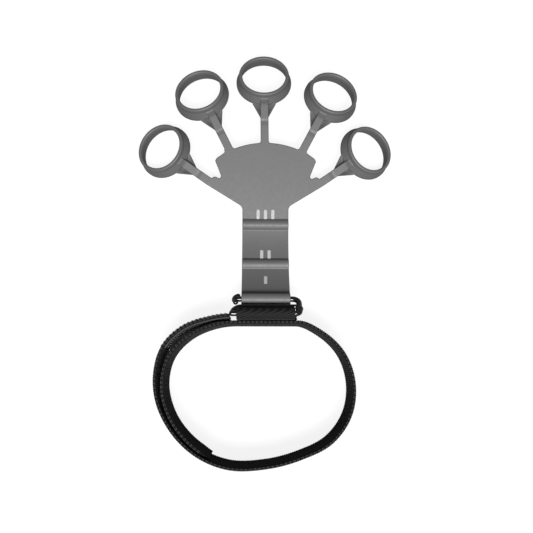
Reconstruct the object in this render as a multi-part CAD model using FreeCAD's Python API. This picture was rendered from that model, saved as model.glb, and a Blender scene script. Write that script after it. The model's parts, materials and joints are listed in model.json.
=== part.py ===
import FreeCAD, Part
import math
import os
from FreeCAD import Placement, Rotation, Vector

# Finger exerciser: a moulded silicone hand with five finger rings, whose strip hangs on a
# plastic hook that is sewn to a hook-and-loop wrist band. Millimetres.
# The band stands on its edge, the two outer rings rest on the table as legs, and the strip
# rises in a curve to the hook. +X is across the hand, +Y towards the fingers, +Z up.
# The hand is drawn flat around its hub, where the finger arms would meet, and then tilted.

# Silicone hand
PLATE_T = 2.6                 # thickness of palm, arms and strip
HUB_Y, HUB_Z = 75.5, 6.04     # the hub's middle plane
PALM_TILT = 12.6              # degrees, the palm rises towards the fingers
STRIP_W = 24.4
STRIP_BEND_R = 50.0           # the strip curves upward from the hub on
ARM_W = 4.2
NECK_R = 3.3                  # fillet where the palm narrows to the strip
ROOT_R = 1.2                  # fillet where an arm leaves the palm
STRIP_HINGE_V = 8.7           # distance of the flexing line from the hub
HINGE_GAP = 0.3               # room around a flexing line's round edge
BAR_START = 24.0              # each arm's bar runs from here, inside the palm
GROOVE_W = 12.0               # width of the groove that parts an arm from the palm
OVERLAP = 0.5                 # how far solids of one piece run into each other
NEAR = 0.05                   # corners closer than this are the same

# Right side of the palm's outline, up from the strip: across, above the hub, corner radius
PALM_SIDE = (
    (14.53, 8.7, 0),     # flexing line of the strip
    (31.0, 18.7, 0),     # lower edge of the outer arm
    (28.6, 22.2, 0.6),   # upper edge of the outer arm
    (26.9, 23.1, 1.2),   # small bump
    (24.3, 22.0, 0.4),   # notch
    (23.5, 23.2, 0.4),
    (26.7, 31.2, 0.6),   # wing corner
    (25.9, 32.7, 0.6),
    (20.3, 36.6, 0),
)
PALM_ARC_U, PALM_ARC_V, PALM_TOP_V = 17.5, 37.36, 40.9

# Tunnels for the hook, moulded across the strip; distances run from the hub along the strip
TUNNEL_R, TUNNEL_BORE_R = 3.2, 2.0
TUNNEL_PITCH = 22.0
TUNNEL_AT = (2.3, 2.3 + TUNNEL_PITCH, 2.3 + 2 * TUNNEL_PITCH)
MARK_AT = (-3.2, 18.9, 34.4)  # middle of the bars that mark each tunnel's pull, strongest first
MARK_LENGTH, MARK_WIDTH, MARK_PITCH, MARK_RAISED = 5.0, 1.7, 3.9, 0.2

# Finger rings: number, direction from the hub in degrees, hub to ring, hub to flexing line
FINGERS = (
    (1, 145.6, 66.8, 37.5),
    (2, 117.3, 76.1, 44.3),
    (3, 90.8, 75.8, 43.6),
    (4, 62.1, 76.1, 44.3),
    (5, 34.4, 66.8, 37.5),
)
BORE_R, FLARE_R = 11.5, 12.8  # the hole, and its wide end below
LAND = 1.8                    # height of the hole's straight stretch, under the rim
RIM_R, FLANGE_R = 13.4, 14.8
RING_H, RIM_H, FLANGE_H = 6.8, 2.2, 1.3
RING_LEAN = 26.5              # degrees, outward
RING_DROP = 5.75              # ring centre below the palm's middle plane
STUB_LENGTH = 23.5            # ring centre back to the line where the ring's bar meets its arm
STUB_RISE = 0.3
GUSSET_LENGTH, GUSSET_WIDE = 21.5, 13.9   # ring centre back to the web's narrow and wide ends
GUSSET_HALF, GUSSET_T = 6.2, 1.3
STRETCH_GAP = 0.02            # between an arm and its ring's bar

# Plastic hook, drawn in its own plane: x across, q from the webbing bar to the tunnel bar
BAR_R = 1.4
WEBBING_BAR_Y, WEBBING_BAR_Z = 24.3, 24.8
WEBBING_BAR_FROM, ARM_X = -16.6, 16.4
ELBOW_R, CORNER_R = 3.2, 2.0
SLOT_BAR_R, SLOT_BAR_Q = 1.1, 5.3   # the webbing's slot lies between two bars
SLOT_END_X, SLOT_END_R = -11.6, 5.0  # its rounded closed end
LOBE_R, LOBE_X, LOBE_Q = 1.9, 16.3, 3.4
TUNNEL_BAR_FROM = -14.9
HORN_R, HORN_X, HORN_Q, HORN_ROD_R, HORN_TIP_R = 3.1, -12.7, 10.9, 1.15, 1.35
HORN_FROM, HORN_TO = 112.0, 222.0

# Wrist band
BAND_W, BAND_T = 22.0, 2.0
TAPE_T, TAPE_MARGIN = 0.9, 1.0
THREAD_R = 0.25
# The band's middle line seen from above, from its inner tip round to its outer end.
# A third value is the heading in degrees where the band runs straight.
BAND_LINE = (
    (-26.3, -43.0),
    (-38.0, -34.7),
    (-46.5, -22.8),
    (-49.8, -8.0),
    (-46.9, 3.8),
    (-38.7, 12.9),
    (-27.5, 18.4),
    (-14.8, 20.4, 0.0),
    (15.6, 20.4, 0.0),
    (27.3, 15.6),
    (38.0, 5.0),
    (42.4, -8.7),
    (40.3, -23.8),
    (31.6, -35.8),
    (16.5, -43.4),
    (-1.0, -47.6),
    (-18.5, -47.6),
    (-32.2, -42.2),
    (-45.6, -29.6),
    (-52.4, -15.0),
    (-53.3, -4.6),
    (-49.8, 8.6),
    (-40.8, 17.6),
    (-28.5, 22.2),
    (-17.9, 23.8),
)
TAIL_FROM = 20                # the point where the outer end peels off
TAPE_FROM = 21                # the hook tape starts here

# Keeper: webbing folded round the hook's bar, both tails sewn to the band
KEEPER_FROM, KEEPER_TO = -14.4, 15.3
FOLD_TO, CORNER_ROOM_R = 13.9, 5.2   # the fold ends short of the hook's corner, which swings there
WEBBING_T = 1.3
KEEPER_BORE_R = 1.6
KEEPER_BOTTOM_Z = 1.2
STITCH_ROWS_Z = (4.0, 17.5)
STITCH_PITCH, STITCH_LENGTH = 2.4, 1.7
TAPE_ROW_MARGIN = 2.4         # from the band's edges to the hook tape's stitches
FOLD_RUN = 3.0                # the tails part this far below the band's upper edge

HALF_T = PLATE_T / 2
Z = Vector(0, 0, 1)
X = Vector(1, 0, 0)
Y = Vector(0, 1, 0)


def in_hand():
    """From the flat hand's frame, hub at the origin, to the tilted hand."""
    return Placement(Vector(0, HUB_Y, HUB_Z), Rotation(X, PALM_TILT))


def along_finger(direction):
    """From a frame whose +X runs out along one finger to the tilted hand."""
    return in_hand() * Placement(Vector(0, 0, 0), Rotation(Z, direction))


def strip_point(along, off=0.0):
    """(v, w) in the flat hand's frame, off above the strip's middle, along it from the hub."""
    if along <= 0:
        return Vector(0, -along, off)
    turn = along / STRIP_BEND_R
    radius = STRIP_BEND_R - off
    return Vector(0, -radius * math.sin(turn), STRIP_BEND_R - radius * math.cos(turn))


def placed(shape, placement):
    moved = shape.copy()
    moved.Placement = placement * moved.Placement
    return moved


def prism(points, vector):
    """A solid whose section is the polygon through these points."""
    return Part.Face(Part.makePolygon([*points, points[0]])).extrude(vector)


def flat(points, low, high):
    """A flat solid from (x, y) points, between two heights."""
    return prism([Vector(x, y, low) for x, y in points], Vector(0, 0, high - low))


def cylinder_x(radius, half, centre):
    """A cylinder along X, centred."""
    return Part.makeCylinder(radius, 2 * half, centre - Vector(half, 0, 0), X)


def round_upright_edges(solid, places):
    """Fillets the vertical edges at these (x, y, radius) places."""
    for x, y, radius in places:
        found = [
            e for e in solid.Edges
            if len(e.Vertexes) == 2
            and all(math.hypot(v.X - x, v.Y - y) < NEAR for v in e.Vertexes)
        ]
        solid = solid.makeFillet(radius, found)
    return solid


# ---------------------------------------------------------------- silicone hand

def palm_plate():
    right = [Vector(u, v, -HALF_T) for u, v, _ in PALM_SIDE]
    left = [Vector(-p.x, p.y, p.z) for p in reversed(right)]
    arc_end = Vector(PALM_ARC_U, PALM_ARC_V, -HALF_T)
    arc_start = Vector(-PALM_ARC_U, PALM_ARC_V, -HALF_T)
    edges = [Part.makePolygon([*right, arc_end])]
    edges.append(Part.Arc(arc_end, Vector(0, PALM_TOP_V, -HALF_T), arc_start).toShape())
    edges.append(Part.makePolygon([arc_start, *left, right[0]]))
    outline = Part.Wire([e for part in edges for e in part.Edges])
    solid = Part.Face(outline).extrude(Vector(0, 0, PLATE_T))
    for u, v, radius in PALM_SIDE:
        if radius:
            solid = round_upright_edges(solid, [(u, v, radius), (-u, v, radius)])
    for _, direction, _, root in FINGERS:
        start = Vector(BAR_START, -ARM_W / 2, -HALF_T)
        bar = Part.makeBox(root - BAR_START, ARM_W, PLATE_T, start)
        solid = solid.fuse(placed(bar, Placement(Vector(0, 0, 0), Rotation(Z, direction))))
    solid = solid.removeSplitter()
    solid = round_upright_edges(solid, [(*p, ROOT_R) for p in arm_corners(solid)])
    for _, direction, _, root in FINGERS:
        start = Vector(root, -GROOVE_W / 2, 0)
        groove = Part.makeCylinder(HALF_T + HINGE_GAP, GROOVE_W, start, Y)
        solid = solid.cut(placed(groove, Placement(Vector(0, 0, 0), Rotation(Z, direction))))
    line = Vector(0, STRIP_HINGE_V, 0)
    solid = solid.cut(cylinder_x(HALF_T + HINGE_GAP, STRIP_W, line))
    return placed(biggest(solid), in_hand())


def arm_corners(solid):
    """Where the middle three arms' sides meet the palm's edge."""
    found = []
    for e in solid.Edges:
        a, b = e.Vertexes[0], e.Vertexes[-1]
        upright = math.hypot(a.X - b.X, a.Y - b.Y) < NEAR and abs(a.Z - b.Z) > HALF_T
        for _, direction, _, root in FINGERS[1:4]:
            turn = math.radians(direction)
            out = a.X * math.cos(turn) + a.Y * math.sin(turn)
            side = abs(a.Y * math.cos(turn) - a.X * math.sin(turn))
            if upright and abs(side - ARM_W / 2) < NEAR and out < root - NEAR:
                found.append((a.X, a.Y))
    return found


def biggest(shape):
    return max(shape.Solids, key=lambda s: s.Volume)


def strip_profile(low, high, start, end):
    """A band of the strip's section between two heights above its middle, from start to end.
    The strip is straight before the hub and an arc after it."""
    def edges(off):
        straight_end, bend_start = min(end, 0), max(start, 0)
        found = []
        if start < 0:
            found.append(Part.LineSegment(strip_point(start, off), strip_point(straight_end, off)))
        if end > 0:
            middle = strip_point((bend_start + end) / 2, off)
            found.append(Part.Arc(strip_point(bend_start, off), middle, strip_point(end, off)))
        return found

    parts = edges(low) + edges(high)
    for along in (start, end):
        parts.append(Part.LineSegment(strip_point(along, low), strip_point(along, high)))
    ordered = Part.sortEdges([p.toShape() for p in parts])[0]
    return Part.Face(Part.Wire(ordered))


def strip():
    """The strip from its flexing line, where it has a round edge, to the end tunnel."""
    half, low_v, high_v = STRIP_W / 2, OVERLAP, STRIP_HINGE_V + HALF_T
    (edge_u, edge_v, _), (far_u, far_v, _) = PALM_SIDE[:2]
    slope = (far_v - edge_v) / (far_u - edge_u)
    corner_v = edge_v - (edge_u - half) * slope
    top_u = edge_u + (high_v - edge_v) / slope
    neck = [(top_u, high_v), (half, corner_v), (half, low_v)]
    neck += [(-u, v) for u, v in reversed(neck)]
    solid = flat(neck, -HALF_T, HALF_T)
    solid = round_upright_edges(solid, [(half, corner_v, NECK_R), (-half, corner_v, NECK_R)])
    below = Part.makeBox(2 * top_u, STRIP_HINGE_V, PLATE_T, Vector(-top_u, 0, -HALF_T))
    solid = solid.common(below.fuse(cylinder_x(HALF_T, top_u, Vector(0, STRIP_HINGE_V, 0))))
    end = TUNNEL_AT[-1]
    curved = strip_profile(-HALF_T, HALF_T, -OVERLAP, end)
    curved.translate(Vector(-half, 0, 0))
    solid = solid.fuse(curved.extrude(Vector(STRIP_W, 0, 0)))
    for along in TUNNEL_AT:
        solid = solid.fuse(cylinder_x(TUNNEL_R, half, strip_point(along)))
    for along in TUNNEL_AT:
        solid = solid.cut(cylinder_x(TUNNEL_BORE_R, half + OVERLAP, strip_point(along)))
    return placed(solid.removeSplitter(), in_hand())


def level_mark(along, count):
    """A row of raised bars, as many as the level."""
    face = strip_profile(HALF_T, HALF_T + MARK_RAISED, along - MARK_LENGTH / 2, along + MARK_LENGTH / 2)
    bars = []
    for k in range(count):
        bar = face.copy()
        bar.translate(Vector((k - (count - 1) / 2) * MARK_PITCH - MARK_WIDTH / 2, 0, 0))
        bars.append(bar.extrude(Vector(MARK_WIDTH, 0, 0)))
    return placed(Part.makeCompound(bars), in_hand())


def finger_arm(root, ring_at):
    """The flexible arm, drawn along +X, with a round edge on its flexing line."""
    end = ring_at - STUB_LENGTH - STRETCH_GAP
    bar = Part.makeBox(end - root, ARM_W, PLATE_T, Vector(root, -ARM_W / 2, -HALF_T))
    knuckle = Part.makeCylinder(HALF_T, ARM_W, Vector(root, -ARM_W / 2, 0), Y)
    return bar.fuse(knuckle).removeSplitter()


def ring_frame(ring_at):
    """From a ring's own frame, bore along +Z, to the frame along its finger."""
    return Placement(Vector(ring_at, 0, -RING_DROP), Rotation(Y, RING_LEAN))


def revolved(profile):
    """A solid of revolution about Z from (radius, height) points."""
    points = [Vector(r, 0, h) for r, h in profile]
    face = Part.Face(Part.makePolygon([*points, points[0]]))
    return face.revolve(Vector(0, 0, 0), Z, 360)


def finger_ring(ring_at):
    """A ring with its flange, the bar that carries it and the two side webs."""
    top, bottom = RING_H / 2, -RING_H / 2
    outside = revolved([
        (0, bottom), (FLANGE_R, bottom), (FLANGE_R, bottom + FLANGE_H), (RIM_R, top - RIM_H),
        (RIM_R, top), (0, top),
    ])
    low, high = bottom - OVERLAP, top + RING_H
    bore = revolved([
        (0, low), (FLARE_R, low), (FLARE_R, bottom), (BORE_R, top - LAND), (BORE_R, high), (0, high),
    ])
    start, inside = ring_at - STUB_LENGTH, ring_at - BORE_R + RIM_R - BORE_R
    side = [
        Vector(start, -ARM_W / 2, -HALF_T), Vector(start, -ARM_W / 2, HALF_T),
        Vector(inside, -ARM_W / 2, HALF_T + STUB_RISE), Vector(inside, -ARM_W / 2, -HALF_T),
    ]
    bar = prism(side, Vector(0, ARM_W, 0))
    narrow, wide, far = ring_at - GUSSET_LENGTH, ring_at - GUSSET_WIDE, ring_at - BORE_R + OVERLAP
    web = flat(
        [
            (narrow, -ARM_W / 2), (wide, -GUSSET_HALF), (far, -GUSSET_HALF),
            (far, GUSSET_HALF), (wide, GUSSET_HALF), (narrow, ARM_W / 2),
        ],
        -HALF_T - GUSSET_T, -HALF_T + OVERLAP / 2,
    )
    place = ring_frame(ring_at)
    solid = placed(outside, place).fuse(bar).fuse(web)
    return solid.cut(placed(bore, place)).removeSplitter()


# ---------------------------------------------------------------- hook

def tunnel_axis():
    """The end tunnel's axis, which the hook's bar lies in."""
    return in_hand().multVec(strip_point(TUNNEL_AT[-1]))


def hook_frame():
    """From the hook's plane, x across and q as Y, to its place between band and tunnel."""
    start = Vector(0, WEBBING_BAR_Y, WEBBING_BAR_Z)
    reach = tunnel_axis() - start
    turn = math.degrees(math.atan2(reach.z, reach.y))
    return Placement(start, Rotation(X, turn))


def rod(edges, radius):
    wire = Part.Wire([e.toShape() for e in edges])
    start = wire.Edges[0].valueAt(wire.Edges[0].FirstParameter)
    heading = wire.Edges[0].tangentAt(wire.Edges[0].FirstParameter)
    section = Part.Wire(Part.makeCircle(radius, start, heading))
    return wire.makePipeShell([section], True, True)


def ball(radius, x, q):
    return Part.makeSphere(radius, Vector(x, q, 0))


def quarter(centre_x, centre_q, radius, start, end):
    """An arc in the hook's plane, from one angle to another, in degrees."""
    def at(angle):
        turn = math.radians(angle)
        return Vector(centre_x + radius * math.cos(turn), centre_q + radius * math.sin(turn), 0)

    return Part.Arc(at(start), at((start + end) / 2), at(end))


def g_hook():
    reach = (tunnel_axis() - Vector(0, WEBBING_BAR_Y, WEBBING_BAR_Z)).Length
    first = quarter(ARM_X - CORNER_R, CORNER_R, CORNER_R, -90, 0)
    second = quarter(ARM_X - ELBOW_R, reach - ELBOW_R, ELBOW_R, 0, 90)
    run = [
        Part.LineSegment(Vector(WEBBING_BAR_FROM, 0, 0), Vector(ARM_X - CORNER_R, 0, 0)),
        first,
        Part.LineSegment(Vector(ARM_X, CORNER_R, 0), Vector(ARM_X, reach - ELBOW_R, 0)),
        second,
        Part.LineSegment(Vector(ARM_X - ELBOW_R, reach, 0), Vector(TUNNEL_BAR_FROM, reach, 0)),
    ]
    horn = quarter(HORN_X, HORN_Q, HORN_R, HORN_FROM, HORN_TO)
    tips = [horn.StartPoint, horn.EndPoint]
    solid = rod(run, BAR_R).fuse(ball(BAR_R, WEBBING_BAR_FROM, 0))
    solid = solid.fuse(ball(LOBE_R, LOBE_X, LOBE_Q))
    slot = [
        Part.LineSegment(Vector(ARM_X, SLOT_BAR_Q, 0), Vector(SLOT_END_X, SLOT_BAR_Q, 0)),
        quarter(SLOT_END_X, SLOT_BAR_Q - SLOT_END_R, SLOT_END_R, 90, 180),
    ]
    solid = solid.fuse(rod(slot, SLOT_BAR_R))
    crescent = rod([horn], HORN_ROD_R).fuse(ball(HORN_ROD_R, tips[0].x, tips[0].y))
    crescent = crescent.fuse(ball(HORN_TIP_R, tips[1].x, tips[1].y))
    return placed(solid.fuse(crescent), hook_frame())


# ---------------------------------------------------------------- band

def unit(v):
    return v / v.Length


def left_of(v):
    return Vector(-v.y, v.x, 0)


def headings(points):
    """The band's direction at each point: as given, or that of the circle through three."""
    places = [Vector(p[0], p[1], 0) for p in points]
    result = [None] * len(points)
    for i in range(1, len(points) - 1):
        back, ahead = places[i] - places[i - 1], places[i + 1] - places[i]
        result[i] = unit(unit(back) * ahead.Length + unit(ahead) * back.Length)
    for i, p in enumerate(points):
        if len(p) == 3:
            result[i] = Vector(math.cos(math.radians(p[2])), math.sin(math.radians(p[2])), 0)
    for end, inner in ((0, 1), (len(points) - 1, len(points) - 2)):
        chord = unit(places[inner] - places[end])
        result[end] = chord * (2 * chord.dot(result[inner])) - result[inner]
    return places, result


def arcs(places, directions, first, last):
    """Pairs of tangent arcs through the points: (start, its direction, end, its direction)."""
    pieces = []
    for i in range(first, last):
        p0, p1, t0, t1 = places[i], places[i + 1], directions[i], directions[i + 1]
        chord, both = p1 - p0, t0 + t1
        spread = 2 * (1 - t0.dot(t1))
        across = chord.dot(both)
        if spread < 1e-9:
            reach = chord.dot(chord) / (2 * across)
        else:
            reach = (math.sqrt(across ** 2 + spread * chord.dot(chord)) - across) / spread
        middle = p0 + chord / 2 + (t0 - t1) * (reach / 2)
        into = unit(middle - p0)
        between = unit(into * (2 * into.dot(t0)) - t0)
        pieces += [(p0, t0, middle, between), (middle, between, p1, t1)]
    return pieces


def offset_edge(piece, off):
    """One arc of the line, moved to its left by off."""
    start, t0, end, t1 = piece
    chord = end - start
    bend = math.atan2(t0.x * chord.y - t0.y * chord.x, t0.dot(chord))
    side = left_of(unit(chord))
    a, b = start + left_of(t0) * off, end + left_of(t1) * off
    if abs(bend) < 1e-6:
        return Part.LineSegment(a, b)
    middle = start + chord / 2 - side * (chord.Length / 2 * math.tan(bend / 2)) + side * off
    return Part.Arc(a, middle, b)


def ribbon(first, last, low, high, bottom, top):
    """The band's line from one point to another, between two offsets to its left, upright."""
    places, directions = headings(BAND_LINE)
    pieces = arcs(places, directions, first, last)
    inner = [offset_edge(p, low) for p in pieces]
    outer = [offset_edge(p, high) for p in pieces]
    caps = [
        Part.LineSegment(inner[-1].EndPoint, outer[-1].EndPoint),
        Part.LineSegment(outer[0].StartPoint, inner[0].StartPoint),
    ]
    edges = Part.sortEdges([e.toShape() for e in [*inner, *outer, *caps]])[0]
    face = Part.Face(Part.Wire(edges))
    face.translate(Vector(0, 0, bottom))
    return face.extrude(Vector(0, 0, top - bottom))


def upright(radius, place):
    return Part.makeCylinder(radius, BAND_W, place, Z)


def wrist_band():
    """The band from its inner tip round to the line where the outer end peels off."""
    places, _ = headings(BAND_LINE)
    solid = ribbon(0, TAIL_FROM, -BAND_T / 2, BAND_T / 2, 0, BAND_W)
    solid = solid.fuse(upright(BAND_T / 2, places[0]))
    return biggest(solid.cut(upright(BAND_T / 2 + HINGE_GAP, places[TAIL_FROM])))


def band_tail():
    places, _ = headings(BAND_LINE)
    last = len(BAND_LINE) - 1
    solid = ribbon(TAIL_FROM, last, -BAND_T / 2, BAND_T / 2, 0, BAND_W)
    solid = solid.fuse(upright(BAND_T / 2, places[TAIL_FROM]))
    return solid.fuse(upright(BAND_T / 2, places[last])).removeSplitter()


def hook_tape():
    """The patch of hook tape on the inner face of the band's outer end."""
    inner = -BAND_T / 2
    last = len(BAND_LINE) - 1
    return ribbon(TAPE_FROM, last, inner - TAPE_T, inner, TAPE_MARGIN, BAND_W - TAPE_MARGIN)


def stitch_row(first, last, off, height):
    """Threads lying in a row along the band's line, each a short rod on its face."""
    places, directions = headings(BAND_LINE)
    threads = []
    for start, t0, end, t1 in arcs(places, directions, first, last):
        length = (end - start).Length
        count = max(1, int(length / STITCH_PITCH))
        run = unit(end - start)
        for k in range(count):
            share = (k + 0.5) / count
            heading = t0 * (1 - share) + t1 * share
            bend = math.atan2(t0.x * run.y - t0.y * run.x, t0.dot(run))
            sag = math.tan(bend / 2) * length / 2 * 4 * share * (1 - share)
            centre = start + (end - start) * share - left_of(run) * sag
            centre = centre + left_of(unit(heading)) * off + Vector(0, 0, height)
            begin = centre - unit(heading) * (STITCH_LENGTH / 2)
            threads.append(Part.makeCylinder(THREAD_R, STITCH_LENGTH, begin, unit(heading)))
    return threads


def tape_stitches():
    """Two rows of stitches on the tail's outer face, which hold the hook tape."""
    last = len(BAND_LINE) - 1
    off = BAND_T / 2 + THREAD_R
    heights = (TAPE_ROW_MARGIN, BAND_W - TAPE_ROW_MARGIN)
    rows = [stitch_row(TAPE_FROM, last, off, h) for h in heights]
    return Part.makeCompound([t for row in rows for t in row])


def keeper_webbing():
    """Webbing folded over the hook's bar, with both tails flat on the band's outer face."""
    y, z, outer = WEBBING_BAR_Y, WEBBING_BAR_Z, KEEPER_BORE_R + WEBBING_T
    face_y = BAND_LINE[7][1] + BAND_T / 2
    tails_y = face_y + 2 * WEBBING_T
    section = [
        (face_y, KEEPER_BOTTOM_Z), (face_y, BAND_W), (y - outer, z), (y + outer, z),
        (tails_y, BAND_W - FOLD_RUN), (tails_y, KEEPER_BOTTOM_Z),
    ]
    length = KEEPER_TO - KEEPER_FROM
    middle = Vector((KEEPER_FROM + KEEPER_TO) / 2, y, z)
    solid = prism([Vector(KEEPER_FROM, a, b) for a, b in section], Vector(length, 0, 0))
    solid = solid.fuse(cylinder_x(outer, length / 2, middle))
    solid = solid.cut(cylinder_x(KEEPER_BORE_R, length, middle))
    room = Part.makeCylinder(CORNER_ROOM_R, length, Vector(FOLD_TO, y, z), X)
    return solid.cut(room).removeSplitter()


def keeper_stitches():
    """Rows of thread across the keeper's tails."""
    y = BAND_LINE[7][1] + BAND_T / 2 + 2 * WEBBING_T + THREAD_R
    room = KEEPER_TO - KEEPER_FROM - STITCH_LENGTH
    count = int(room / STITCH_PITCH)
    first = KEEPER_FROM + (room - (count - 1) * STITCH_PITCH) / 2
    threads = []
    for z in STITCH_ROWS_Z:
        for k in range(count):
            x = first + k * STITCH_PITCH
            threads.append(Part.makeCylinder(THREAD_R, STITCH_LENGTH, Vector(x, y, z), X))
    return Part.makeCompound(threads)


# ---------------------------------------------------------------- assembly

def build():
    parts = {
        "palm_plate": palm_plate(),
        "strip": strip(),
        "g_hook": g_hook(),
        "wrist_band": wrist_band(),
        "band_tail": band_tail(),
        "hook_tape": hook_tape(),
        "hook_tape_stitches": tape_stitches(),
        "keeper_webbing": keeper_webbing(),
        "keeper_stitches": keeper_stitches(),
    }
    for level, along in zip((3, 2, 1), MARK_AT):
        parts[f"level_mark_{level}"] = level_mark(along, level)
    for number, direction, ring_at, root in FINGERS:
        place = along_finger(direction)
        parts[f"finger_arm_{number}"] = placed(finger_arm(root, ring_at), place)
        parts[f"finger_ring_{number}"] = placed(finger_ring(ring_at), place)
    return parts


def to_origin(parts):
    """The move that puts the origin at the bottom centre of the whole object's box."""
    box = FreeCAD.BoundBox()
    for shape in parts.values():
        box.add(shape.optimalBoundingBox(False))
    return Vector(-box.Center.x, -box.Center.y, -box.ZMin)


def main():
    parts = build()
    move = to_origin(parts)
    os.makedirs("parts", exist_ok=True)
    for name, shape in parts.items():
        shape.translate(move)
        shape.exportStep(f"parts/{name}.step")
        solids = len(shape.Solids)
        print(f"{name:20s} solids {solids:3d} volume {shape.Volume:9.1f} valid {shape.isValid()}")
    print("moved by", move)


if __name__ == "__main__":
    main()
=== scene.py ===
import json
import math
import random

import bmesh
import bpy
from mathutils import Matrix, Vector


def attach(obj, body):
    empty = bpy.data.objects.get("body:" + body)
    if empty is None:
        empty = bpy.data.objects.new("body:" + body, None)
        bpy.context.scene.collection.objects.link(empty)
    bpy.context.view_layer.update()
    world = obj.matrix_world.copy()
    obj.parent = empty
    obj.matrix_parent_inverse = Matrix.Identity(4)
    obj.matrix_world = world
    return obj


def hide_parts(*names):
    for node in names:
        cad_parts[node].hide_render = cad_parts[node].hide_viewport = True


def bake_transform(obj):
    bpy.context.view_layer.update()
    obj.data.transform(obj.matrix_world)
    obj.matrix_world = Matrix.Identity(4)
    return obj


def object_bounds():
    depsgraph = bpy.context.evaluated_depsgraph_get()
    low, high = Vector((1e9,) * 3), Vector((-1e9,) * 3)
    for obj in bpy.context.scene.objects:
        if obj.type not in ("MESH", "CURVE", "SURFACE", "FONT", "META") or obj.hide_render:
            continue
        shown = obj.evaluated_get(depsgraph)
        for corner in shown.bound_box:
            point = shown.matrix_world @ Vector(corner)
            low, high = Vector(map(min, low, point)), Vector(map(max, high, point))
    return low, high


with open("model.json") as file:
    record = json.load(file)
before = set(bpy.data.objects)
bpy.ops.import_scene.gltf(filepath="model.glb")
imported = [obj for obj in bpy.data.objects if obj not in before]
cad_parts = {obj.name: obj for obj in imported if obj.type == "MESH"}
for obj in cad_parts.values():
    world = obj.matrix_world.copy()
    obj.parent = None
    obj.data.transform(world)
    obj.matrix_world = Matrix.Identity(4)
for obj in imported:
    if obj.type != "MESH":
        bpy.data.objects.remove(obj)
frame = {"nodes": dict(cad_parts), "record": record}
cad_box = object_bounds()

# Looks of the finger exerciser: a silicone hand with five finger rings, hung by its strip on a
# plastic hook that is sewn to a hook-and-loop wrist band. Sizes are in millimetres, and each
# local frame's matrix turns them into the row's metres.

RECORD = frame["record"]
JOINTS = {j["name"]: j for j in RECORD["behaviour"]["joints"]}
MOUNTS = {m["name"]: m for m in RECORD["mounts"]}
MM = 0.001
RING_H = 6.8                  # a finger ring's height along its hole
CORNER_STEPS = 4              # faces round a rounded edge
FLAT_FROM = 0.25              # flat faces start this far beyond a rounded edge
WELD_ROW = 0.002 * MM         # points closer than this are one point, in the row's metres
WELD_LOCAL = 0.004            # the same in a local frame's millimetres
RANDOM = random.Random(7)


# ---------------------------------------------------------------- frames

def placed_frame(x, y, z, origin):
    """The matrix of a local frame in millimetres: its axes and its origin in the row frame."""
    turn = Matrix((x, y, z)).transposed().to_4x4()
    return Matrix.Translation(origin) @ turn @ Matrix.Scale(MM, 4)


def finger_axes(number):
    """Along the finger and across it, in the row frame."""
    along = Vector(JOINTS[f"arm_{number}_stretch"]["axis"]).normalized()
    across = -Vector(JOINTS[f"arm_{number}_bend"]["axis"]).normalized()
    return along, across


def finger_frame(number):
    """+X out along the finger from its flexing line, +Z out of the palm's upper face."""
    along, across = finger_axes(number)
    origin = Vector(JOINTS[f"arm_{number}_bend"]["pos_m"])
    return placed_frame(along, across, along.cross(across), origin)


def hand_frame():
    """The palm's plane, with its origin at the hub where the fingers' lines meet."""
    along, across = finger_axes(5)
    up = along.cross(across)
    right = Vector((1, 0, 0))
    line = Vector(JOINTS["arm_5_bend"]["pos_m"])
    hub = line - along * (line.x / along.x)
    return placed_frame(right, up.cross(right), up, hub)


def ring_frame(number):
    """A finger ring's own frame: the hole along +Z, +X away from the palm."""
    mount = MOUNTS[f"finger_hole_{number}"]
    axis = Vector(mount["axis"]).normalized()
    _, across = finger_axes(number)
    land = mount["dims"]["length_mm"]
    centre = Vector(mount["pos_m"]) - axis * ((RING_H - land) / 2 * MM)
    return placed_frame(across.cross(axis), across, axis, centre)


HAND = hand_frame()
TO_HAND = HAND.inverted()


# ---------------------------------------------------------------- mesh helpers

def piece(name, mesh_maker, frame_matrix, sharp=40):
    """An object from a function that fills a bmesh in a local frame."""
    bm = bmesh.new()
    mesh_maker(bm)
    bmesh.ops.transform(bm, matrix=frame_matrix, verts=bm.verts)
    bmesh.ops.recalc_face_normals(bm, faces=bm.faces)
    return finished(name, bm, sharp)


def finished(name, bm, sharp):
    """The bmesh as a smooth object, with edges over this many degrees kept sharp."""
    mesh = bpy.data.meshes.new(name)
    bm.to_mesh(mesh)
    bm.free()
    mesh.shade_smooth()
    mesh.set_sharp_from_angle(angle=math.radians(sharp))
    obj = bpy.data.objects.new(name, mesh)
    bpy.context.scene.collection.objects.link(obj)
    return obj


def bridge(bm, loops, closed_ends=True):
    """Faces between successive loops of points, and over the first and last one."""
    rows = [[bm.verts.new(p) for p in loop] for loop in loops]
    for a, b in zip(rows, rows[1:]):
        for i in range(len(a)):
            j = (i + 1) % len(a)
            bm.faces.new((a[i], a[j], b[j], b[i]))
    if closed_ends:
        bm.faces.new(rows[0])
        bm.faces.new(rows[-1])
    return rows


def arc_points(centre, radius, start, end, steps):
    """(x, y) points along an arc, angles in radians."""
    angles = [start + (end - start) * k / steps for k in range(steps + 1)]
    return [(centre[0] + radius * math.cos(a), centre[1] + radius * math.sin(a)) for a in angles]


def fillet(before, corner, after, radius, steps):
    """The points that round one corner of a line."""
    p = Vector(corner)
    back = (Vector(before) - p).normalized()
    ahead = (Vector(after) - p).normalized()
    half = math.acos(max(-1, min(1, back.dot(ahead)))) / 2
    middle = (back + ahead).normalized()
    centre = p + middle * (radius / math.sin(half))
    start = p + back * (radius / math.tan(half)) - centre
    end = p + ahead * (radius / math.tan(half)) - centre
    a, b = math.atan2(start.y, start.x), math.atan2(end.y, end.x)
    b += 2 * math.pi * round((a - b) / (2 * math.pi))
    return arc_points(centre, radius, a, b, steps)


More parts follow.
